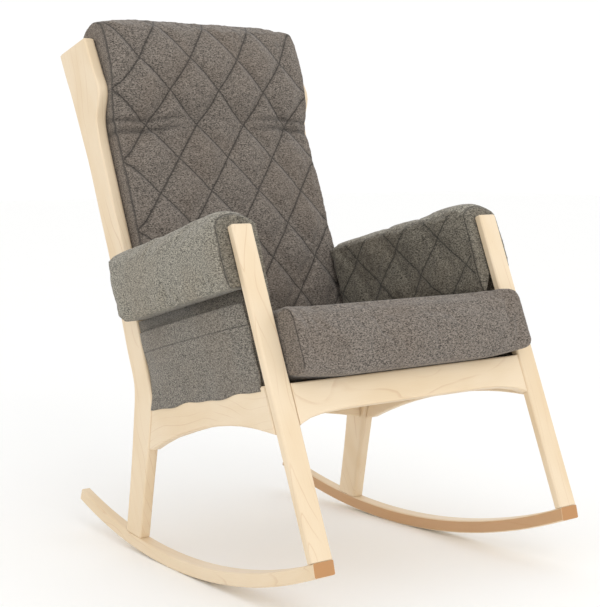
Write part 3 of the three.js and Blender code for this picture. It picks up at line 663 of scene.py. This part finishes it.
class StudioSettings(bpy.types.PropertyGroup):
    floor_size: bpy.props.FloatProperty(
        name="Floor", description="Width of the floor",
        default=40, min=4, max=100, unit="LENGTH")
    sky: bpy.props.FloatProperty(
        name="Surrounding light", description="Strength of the even surrounding light",
        default=1.02, min=0, max=5)
    key: bpy.props.FloatProperty(
        name="Key light", description="Power of the large soft light",
        default=30, min=0, max=500, unit="POWER")


def wood_settings():
    return bpy.context.scene.rocker_wood


def cloth_settings():
    return bpy.context.scene.rocker_cloth


# Wooden frame
class ROCKER_OT_runners(bpy.types.Operator):
    """Finish both curved runners"""
    bl_idname = "rocker.runners"
    bl_label = "Runners"

    def execute(self, context):
        settings = wood_settings()
        for name, side in SIDES:
            material = runner_maple("bent_maple_" + name, side, settings)
            wood_piece("runner_" + name, material, settings.edge_radius)
        return {"FINISHED"}


class ROCKER_OT_side_frames(bpy.types.Operator):
    """Finish the legs, rear posts and side aprons"""
    bl_idname = "rocker.side_frames"
    bl_label = "Side frames"

    def execute(self, context):
        settings = wood_settings()
        for name, side in SIDES:
            seed = 1 + (side > 0)
            for node, kind, along, step in (
                    ("front_leg_", "leg", ALONG_LEAN, 0),
                    ("rear_post_", "post", ALONG_POST, 3),
                    ("side_apron_", "apron", ALONG_SEAT, 6)):
                maple = straight_maple(f"{kind}_maple_{name}", along, seed + step, settings)
                wood_piece(node + name, maple, settings.edge_radius)
        return {"FINISHED"}


class ROCKER_OT_cross_rails(bpy.types.Operator):
    """Finish the rails that join the two sides"""
    bl_idname = "rocker.cross_rails"
    bl_label = "Cross rails"

    def execute(self, context):
        settings = wood_settings()
        rails = ("front_rail", "rear_rail", "back_lower_rail", "back_top_rail")
        for seed, node in enumerate(rails):
            material = straight_maple(node + "_maple", ALONG_WIDTH, seed + 11, settings)
            wood_piece(node, material, settings.edge_radius)
        return {"FINISHED"}


class ROCKER_OT_inner_wood(bpy.types.Operator):
    """Finish the slats, cleats, corner blocks and arm rails"""
    bl_idname = "rocker.inner_wood"
    bl_label = "Slats and blocks"

    def execute(self, context):
        settings = wood_settings()
        radius = settings.small_edge_radius
        back = straight_maple("back_slat_maple", ALONG_LEAN, 21, settings)
        seat = straight_maple("seat_slat_maple", ALONG_WIDTH, 22, settings)
        sides = straight_maple("cleat_maple", ALONG_SEAT, 23, settings)
        arms = straight_maple("arm_rail_maple", ALONG_ARM, 24, settings)
        inner = {"segments": 2, "slot": "maple_inner"}
        for number in range(1, 6):
            wood_piece(f"back_slat_{number}", back, radius, **inner)
            wood_piece(f"seat_slat_{number}", seat, radius, **inner)
        for name, _ in SIDES:
            for node in ("seat_cleat_", "front_block_", "rear_block_"):
                wood_piece(node + name, sides, radius, **inner)
            wood_piece("arm_rail_" + name, arms, radius, **inner)
        return {"FINISHED"}


class ROCKER_OT_bolts(bpy.types.Operator):
    """Finish the four frame bolts"""
    bl_idname = "rocker.bolts"
    bl_label = "Bolts"

    def execute(self, context):
        material = plain_steel("plated_steel")
        for name, _ in SIDES:
            for node in ("front_bolt_" + name, "rear_bolt_" + name):
                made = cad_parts[node]
                made.data.materials.clear()
                made.data.materials.append(material)
        return {"FINISHED"}


# Soft pieces
class ROCKER_OT_seat_cushion(bpy.types.Operator):
    """Build the box seat cushion"""
    bl_idname = "rocker.seat_cushion"
    bl_label = "Seat cushion"

    def execute(self, context):
        settings = cloth_settings()
        made, rest = soft_blank("seat_cushion", voxel=0.005, rounds=1)
        low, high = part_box("seat_cushion")
        behind, above = on_slope(rest, SEAT_ORIGIN, SEAT_TILT)
        forward = -behind
        edge = high.x - np.abs(rest[:, 0])
        boxing = (forward > -FACE_MARGIN) & (above > 0.010) & (above < 0.118)
        seam = np.where(boxing, edge - 0.004, NO_SEAM)
        hold = ramp(0.034 - above, 0, 0.03)
        hold = np.maximum(hold, np.where(np.abs(seam) < 0.006, 0.9, 0))
        inflate(made, hold, settings, cap=0.006)
        points = points_of(made.data)
        self.square_corners(points, edge, above, forward)
        points[:, 0] = np.clip(points[:, 0], low.x - 0.0015, high.x + 0.0015)
        put_points(made.data, points)
        put_attributes(made.data, seam_gap=seam)
        material = wool_cloth("seat_wool", settings.front_colour, settings, quilted=False)
        finish_cloth(made, "seat_cushion", "seat", material)
        return {"FINISHED"}

    @staticmethod
    def square_corners(points, edge, above, forward):
        """Sets the boxing's front corners square, and lifts them a little off the rail."""
        ahead = ramp(forward, -0.030, 0.030)
        beside = fall(edge, 0, 0.030)
        corner = SEAT_CORNER_OUT * ahead * beside
        points[:, 0] += np.sign(points[:, 0]) * corner
        end = fall(edge, 0, 0.110) ** 1.5 * ramp(forward, -0.080, 0.060)
        top = SEAT_END_LIFT * end + SEAT_CORNER_LIFT * beside * ahead
        foot = SEAT_FOOT_LIFT * end * fall(above, 0, 0.050)
        shift_on_slope(points, SEAT_TILT, -corner, top * ramp(above, 0.080, 0.040) + foot)


class ROCKER_OT_back_cushion(bpy.types.Operator):
    """Build the diamond-quilted back cushion"""
    bl_idname = "rocker.back_cushion"
    bl_label = "Back cushion"

    def execute(self, context):
        settings = cloth_settings()
        made, rest = soft_blank("back_cushion", voxel=0.006, rounds=2)
        down, front = back_place(rest)
        across = rest[:, 0] / settings.quilt_width
        gathered = down - TOP_ROW_GATHER * ramp(settings.quilt_drop - down, 0, 0.064)
        height = (gathered - settings.quilt_drop) / settings.quilt_height
        rising, falling = across + height, across - height
        sewn = np.minimum(near_whole(rising), near_whole(falling)) * settings.quilt_spacing
        side_seam = np.abs(rest[:, 0]) - BACK_SEAM_HALF
        faces_front = (front > -FACE_MARGIN) & (side_seam < 0)
        hold = np.where(faces_front, np.clip(1.25 - sewn / SEWN_REACH, 0, 1), 1.0)
        hold = np.where(np.abs(side_seam) < 0.005, 1.0, hold)
        inflate(made, hold, settings, cap=0.008)
        points = points_of(made.data)
        creased = self.creases(rest, down) * (front > -0.03)
        pull = SEWN_PULL * hump(sewn, 0, 0.0075) * faces_front + CREASE_PULL * creased
        normal = np.array([(0, -math.cos(LEAN), math.sin(LEAN))])
        points = points - normal * pull[:, None]
        points[:, 0] += self.side_fill(rest, points)
        points[:, 1] -= self.stand_proud(rest, front)
        points[:, 2] += self.full_top(rest)
        points[:, 0] += self.shoulders(rest, points, down, front) - self.waist(rest, down)
        put_points(made.data, points)
        put_attributes(
            made.data, crease=creased, rising=rising, falling=falling, quilted=faces_front,
            seam_gap=np.where(front > -0.02, side_seam, NO_SEAM))
        material = wool_cloth("quilted_wool", settings.front_colour, settings, quilted=True)
        finish_cloth(made, "back_cushion", "back", material)
        return {"FINISHED"}

    @staticmethod
    def creases(rest, down):
        """How strong the neck's creases are, where the back bends; this pulls the cloth in and sets
        the painted shade in the creases.
        """
        side = ramp(np.abs(rest[:, 0]), 0.075, 0.06)
        wander = 0.0045 * np.sin(rest[:, 0] * 27 + 0.6)
        deep = np.zeros(len(rest))
        for middle, width, share in ((0.193, 0.0055, 0.9), (0.216, 0.0062, 1.0)):
            deep += share * hump(down - middle, wander, width)
        return deep * (0.10 + 0.90 * side)

    @staticmethod
    def full_top(rest):
        """How far the ends of the top are filled up, so that it runs nearly straight."""
        side = ramp(np.abs(rest[:, 0]), 0, BACK_HALF)
        return TOP_END_FILL * side ** 2 * eased(ramp(rest[:, 2], 0.965, 0.055))

    @staticmethod
    def shoulders(rest, points, down, front):
        """How far the front edges spread ahead of the posts, and the rear ones reach them."""
        edge = ramp(np.abs(rest[:, 0]), 0.20, 0.035)
        spread = NECK_SPREAD * hump(down, 0.155, 0.05) * ramp(front, -0.034, 0.02)
        beside = ramp(rest[:, 2], 0.60, 0.05) * ramp(-0.024 - front, 0, 0.015)
        filled = np.clip(BACK_HALF + 0.001 - np.abs(points[:, 0]), 0, REAR_FILL) * beside
        return np.sign(rest[:, 0]) * (spread + filled) * edge

    @staticmethod
    def waist(rest, down):
        """How far the neck's creases draw in the side that stands free."""
        return NECK_DRAW * hump(down, 0.212, 0.030) * ramp(rest[:, 0], 0.14, 0.09)

    @staticmethod
    def stand_proud(rest, front):
        """How far the filled front stands forward of the posts above the arms."""
        heights = (0.50, 0.62, 0.74, 0.80, 0.98, 1.05)
        amounts = (0, 0.006, 0.013, 0.0145, 0.0135, 0.006)
        return np.interp(rest[:, 2], heights, amounts) * eased(ramp(front, -0.038, 0.031))

    @staticmethod
    def side_fill(rest, points):
        """How far the sides swell out to the posts beside them."""
        low, high = POST_LEAN
        drawn = POST_DRAW * eased(ramp(rest[:, 2], low, high - low))
        reach = np.minimum(POST_INNER - drawn - 0.0006, BACK_HALF + 0.005)
        near = ramp(np.abs(rest[:, 0]), BACK_HALF - 0.012, 0.006)
        return np.sign(rest[:, 0]) * np.maximum(0, reach - np.abs(points[:, 0])) * near


class ROCKER_OT_arm_pads(bpy.types.Operator):
    """Build both arm pads, quilted on their inner faces"""
    bl_idname = "rocker.arm_pads"
    bl_label = "Arm pads"

    def execute(self, context):
        settings = cloth_settings()
        material = wool_cloth(
            "arm_wool", settings.side_colour, settings, quilted=True, two_cloths=True)
        for name, side in SIDES:
            node = "arm_pad_" + name
            made, rest = soft_blank(node, voxel=0.005, rounds=2)
            along, up = on_slope(rest, ARM_ORIGIN, ARM_TILT)
            outward = rest[:, 0] * side
            sideways = outward - np.interp(along, *self.middle_line(along, outward))
            inner = sideways < -0.040
            rising, falling = self.lattice(rest, settings)
            sewn = np.minimum(near_whole(rising), near_whole(falling)) * settings.quilt_spacing
            front = along - up * PAD_FRONT_SLOPE
            tunnel = (np.abs(sideways) < PAD_TUNNEL_HALF) & (up > 0.008) & (up < 0.1)
            tunnel &= (front > 0.012) & (along < 0.37)
            hold = np.where(inner, np.clip(1.2 - sewn / SEWN_REACH, 0, 1), 0.0)
            hold = np.where((up < 0.004) | tunnel | (front < 0.006), 1.0, hold)
            inflate(made, hold, settings, cap=0.006)
            points = points_of(made.data)
            self.reach_seat(points, rest, sideways, up)
            self.reach_back(points, outward, along, up)
            points[:, 0] -= side * self.narrow_front(sideways, front)
            put_points(made.data, points)
            rising, falling = self.lattice(points, settings)
            put_attributes(
                made.data, crease=np.zeros(len(points)), rising=rising, falling=falling,
                quilted=inner & (up < 0.122) & (front > 0.010),
                inner_cloth=inner | (front < 0.010),
                seam_gap=np.where(~tunnel, front - 0.005, NO_SEAM))
            finish_cloth(made, node, "frame", material)
        return {"FINISHED"}

    @staticmethod
    def lattice(points, settings):
        """The two families of stitched lines, counted along the arm and up it."""
        along, up = on_slope(points, ARM_ORIGIN, ARM_TILT)
        across = (along + 0.024) / (settings.quilt_width * 0.97)
        height = (up - 0.083) / (settings.quilt_height * 0.87)
        return across + height, across - height

    @staticmethod
    def reach_seat(points, rest, sideways, up):
        """Draws the inner side down until it almost rests on the seat cushion."""
        _, above = on_slope(rest, SEAT_ORIGIN, SEAT_TILT)
        inward = ramp(-0.014 - sideways, 0, 0.018)
        drop = np.maximum(0, above - up - SEAT_TOP) * inward * fall(up, 0, 0.075)
        shift_on_slope(points, SEAT_TILT, 0, -drop)

    @staticmethod
    def narrow_front(sideways, front):
        """How far each side closes in on the front leg at the pad's front end."""
        outer, inner = (
            amount * ramp(away, PAD_TUNNEL_HALF, 0.026) * fall(front, 0.01, length)
            for amount, away, length in (
                (PAD_OUTER_NARROW, sideways, 0.12), (PAD_INNER_NARROW, -sideways, 0.07)))
        return outer - inner

    @staticmethod
    def reach_back(points, outward, along, up):
        """Runs the outer side a little past the rear post's front, and lifts its upper part."""
        beside = ramp(outward, 0.262, 0.045)
        reach = PAD_REACH * beside * ramp(along, 0.28, 0.10)
        lift = PAD_LIFT * beside * ramp(along, 0.02, 0.35) ** 1.4 * ramp(up, 0, 0.08)
        shift_on_slope(points, ARM_TILT, reach, lift)

    @staticmethod
    def middle_line(along, outward):
        """The pad's middle across its width, at places along the arm."""
        places = np.linspace(0.02, 0.36, 18)
        middles = []
        for place in places:
            here = outward[np.abs(along - place) < 0.012]
            middles.append((here.min() + here.max()) / 2)
        return places, middles


def outer_sheet(node, side):
    """The outer face of a CAD sheet, as an open surface."""
    made = merged_copy(node, node + "_cloth")
    shape = bmesh.new()
    shape.from_mesh(made.data)
    inward = [face for face in shape.faces if face.normal.x * side < 0.35]
    bmesh.ops.delete(shape, geom=inward, context="FACES")
    shape.to_mesh(made.data)
    shape.free()
    return made


def finish_sheet(made, node, material, thick):
    """Dresses an open surface, gives it thickness and says what it is."""
    dress(made, material)
    wall = made.modifiers.new("Cloth thickness", "SOLIDIFY")
    wall.thickness = thick
    wall.offset = -1
    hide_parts(node)
    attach(made, "frame")


class ROCKER_OT_side_sheets(bpy.types.Operator):
    """Build the side panels and their pockets"""
    bl_idname = "rocker.side_sheets"
    bl_label = "Side panels and pockets"

    def execute(self, context):
        settings = cloth_settings()
        # The panels and pockets take the side cloth darkened as painted shade
        material = wool_cloth(
            "pocket_wool", settings.shaded_pocket_colour, settings, quilted=False, seam_strength=0.45)
        for name, side in SIDES:
            self.panel(name, side, material)
            self.pocket(name, side, material)
        return {"FINISHED"}

    def panel(self, name, side, material):
        node = "side_panel_" + name
        made = outer_sheet(node, side)
        put_attributes(made.data, seam_gap=np.full(len(made.data.vertices), NO_SEAM))
        finish_sheet(made, node, material, thick=0.0025)

    def pocket(self, name, side, material):
        node = "pocket_" + name
        made = outer_sheet(node, side)
        shape = bmesh.new()
        shape.from_mesh(made.data)
        bmesh.ops.join_triangles(
            shape, faces=shape.faces, angle_face_threshold=1.0, angle_shape_threshold=1.5)
        bmesh.ops.subdivide_edges(shape, edges=shape.edges, cuts=5, use_grid_fill=True, smooth=0.6)
        shape.to_mesh(made.data)
        shape.free()
        points = points_of(made.data)
        behind = points[:, 1] - PANEL_CORNER[0]
        seat_line = PANEL_CORNER[1] - behind * math.tan(SEAT_TILT)
        hem_line = PANEL_TOP - behind * math.tan(ARM_TILT) - POCKET_DROP
        share = ramp(points[:, 2], seat_line, hem_line - seat_line)
        ripple = np.sin(points[:, 1] * 34 + 0.8) * 0.5 + np.sin(points[:, 1] * 71 + 2.1) * 0.3
        foot = fall(share, 0, 0.16) ** 1.5
        sag = np.sin(np.pi * share) * np.sin(points[:, 1] * 21 + share * 5) * POCKET_SAG
        points[:, 0] += side * (foot * (POCKET_FLARE + ripple * 0.0016) + sag)
        points[:, 2] -= foot * (POCKET_HANG + ripple * 0.004)
        put_points(made.data, points)
        below = (1 - share) * (hem_line - seat_line)
        put_attributes(made.data, seam_gap=below - POCKET_HEM)
        finish_sheet(made, node, material, thick=0.0022)


# Studio
class ROCKER_OT_studio(bpy.types.Operator):
    """Lay the floor, set the lights and stand the camera"""
    bl_idname = "rocker.studio"
    bl_label = "Studio"

    def execute(self, context):
        settings = context.scene.rocker_studio
        self.floor(settings)
        self.light(settings)
        self.camera(context.scene)
        context.scene.view_settings.view_transform = "Standard"
        return {"FINISHED"}

    def floor(self, settings):
        shape = bmesh.new()
        bmesh.ops.create_grid(shape, x_segments=1, y_segments=1, size=settings.floor_size / 2)
        mesh = bpy.data.meshes.new("floor")
        shape.to_mesh(mesh)
        shape.free()
        made = bpy.data.objects.new("floor", mesh)
        bpy.context.scene.collection.objects.link(made)
        finish = Finish("pale_floor")
        grain = finish.noise(finish.place(), 3.0)
        colour = finish.mix(grain * 0.4, linear(253, 253, 252), linear(250, 250, 249))
        mesh.materials.append(finish.surface(Base_Color=colour, Roughness=0.9))

    def light(self, settings):
        world = bpy.data.worlds.new("even_light")
        world.use_nodes = True
        backdrop = world.node_tree.nodes["Background"]
        backdrop.inputs["Color"].default_value = (1, 1, 1, 1)
        backdrop.inputs["Strength"].default_value = settings.sky
        bpy.context.scene.world = world
        self.lamp("key", place=(-0.9, -3.4, 2.7), size=2.4, power=settings.key)

    def lamp(self, name, place, size, power):
        lamp = bpy.data.lights.new(name, "AREA")
        lamp.shape = "DISK"
        lamp.size = size
        lamp.energy = power
        made = bpy.data.objects.new(name, lamp)
        made.location = place
        aim = Vector((0, 0, 0.5)) - Vector(place)
        made.rotation_euler = aim.to_track_quat("-Z", "Y").to_euler()
        bpy.context.scene.collection.objects.link(made)

    def camera(self, scene):
        lens = bpy.data.cameras.new("camera")
        width, height = PICTURE
        lens.sensor_width = SENSOR
        lens.lens = FOCAL_PIXELS / height * SENSOR
        lens.shift_x = (width / 2 - OPTICAL_CENTRE[0]) / height
        lens.shift_y = (OPTICAL_CENTRE[1] - height / 2) / height
        made = bpy.data.objects.new("camera", lens)
        made.location = CAMERA_PLACE
        made.rotation_euler = (
            math.radians(90 - CAMERA_DOWN), 0, -math.radians(CAMERA_TURN))
        scene.collection.objects.link(made)
        scene.camera = made


PIECES = (
    ROCKER_OT_studio, ROCKER_OT_runners, ROCKER_OT_side_frames, ROCKER_OT_cross_rails,
    ROCKER_OT_inner_wood, ROCKER_OT_bolts, ROCKER_OT_seat_cushion, ROCKER_OT_back_cushion,
    ROCKER_OT_arm_pads, ROCKER_OT_side_sheets,
)


class ROCKER_PT_panel(bpy.types.Panel):
    """Lists the chair's pieces and their sizes"""
    bl_idname = "ROCKER_PT_panel"
    bl_label = "Rocking chair"
    bl_space_type = "VIEW_3D"
    bl_region_type = "UI"
    bl_category = "Rocking chair"

    def draw(self, context):
        layout = self.layout
        scene = context.scene
        for group in (scene.rocker_wood, scene.rocker_cloth, scene.rocker_studio):
            for name in group.__annotations__:
                layout.prop(group, name)
        for piece in PIECES:
            layout.operator(piece.bl_idname)


SETTINGS = (
    ("rocker_wood", WoodSettings),
    ("rocker_cloth", ClothSettings),
    ("rocker_studio", StudioSettings),
)


def register():
    for name, group in SETTINGS:
        bpy.utils.register_class(group)
        setattr(bpy.types.Scene, name, bpy.props.PointerProperty(type=group))
    for piece in (*PIECES, ROCKER_PT_panel):
        bpy.utils.register_class(piece)


def unregister():
    for piece in reversed((*PIECES, ROCKER_PT_panel)):
        bpy.utils.unregister_class(piece)
    for name, group in reversed(SETTINGS):
        delattr(bpy.types.Scene, name)
        bpy.utils.unregister_class(group)


def main():
    register()
    for piece in PIECES:
        area, name = piece.bl_idname.split(".")
        getattr(getattr(bpy.ops, area), name)()


if __name__ == "__main__":
    main()
